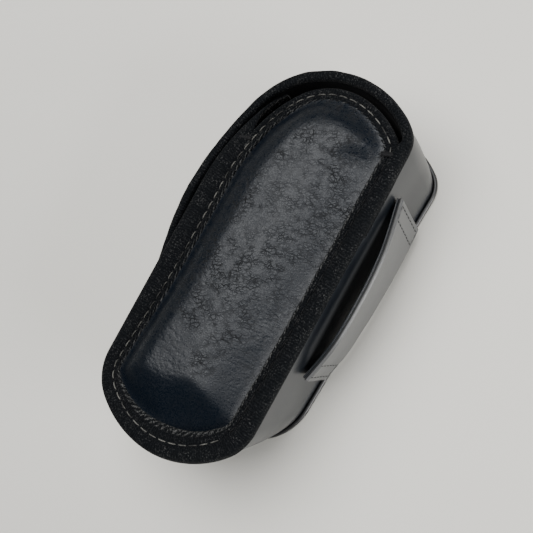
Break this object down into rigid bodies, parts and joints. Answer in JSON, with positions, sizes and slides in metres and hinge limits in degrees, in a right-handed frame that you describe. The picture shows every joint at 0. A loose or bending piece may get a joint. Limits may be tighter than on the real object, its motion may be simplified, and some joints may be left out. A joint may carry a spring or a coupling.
{
  "type": "belt pouch",
  "caption": "Moulded black leather pouch for a slim pocket device, with a flexing top edge at the mouth, taped seams and a belt loop on one side.",
  "frame": {"origin": "centre of the back's flat face, on the pouch's middle line, half way along its length", "axes": "+Z out of the moulded front, +Y towards the mouth, +X towards the side with the belt loop"},
  "size_m": [0.0656, 0.1248, 0.0356],
  "materials": {
    "front_leather": "pebbled, satin, with a faint blue cast",
    "body_leather": "smooth, satin",
    "loop_leather": "smooth, satin, creased beside its stitches",
    "tape": "ribbed black tape, slightly fuzzy",
    "lining_cloth": "plain black woven lining",
    "piping": "matt black edge cord",
    "board": "raw fibre board",
    "foam": "soft closed-cell foam",
    "pale_thread": "twisted grey-cream thread",
    "black_thread": "twisted black thread"
  },
  "bodies": {
    "pouch": {"back_panel": "body_leather", "back_board": "board", "back_lining": "lining_cloth", "back_piping": "piping", "gusset": "body_leather", "gusset_lining": "lining_cloth", "rim_binding": "tape", "front_panel_lower": "front_leather", "front_padding_lower": "foam", "front_lining_lower": "lining_cloth", "front_binding_lower": "tape", "front_thread_lower": "pale_thread", "bar_tack_left": "black_thread", "bar_tack_right": "black_thread", "belt_loop": "loop_leather", "belt_loop_lining": "loop_leather", "belt_loop_stitches_upper": "black_thread", "belt_loop_stitches_lower": "black_thread"},
    "flap": {"front_panel_flap": "front_leather", "front_padding_flap": "foam", "front_lining_flap": "lining_cloth", "front_binding_flap": "tape", "front_thread_flap": "pale_thread"}
  },
  "joints": [
    {"name": "mouth_bend", "type": "hinge", "parent": "pouch", "child": "flap", "pos_m": [0, 0.0398, 0.0286], "axis": [0.9637, 0.2669, 0], "range_deg": [0, 25], "stiffness_Nm_per_rad": 0.04}
  ]
}
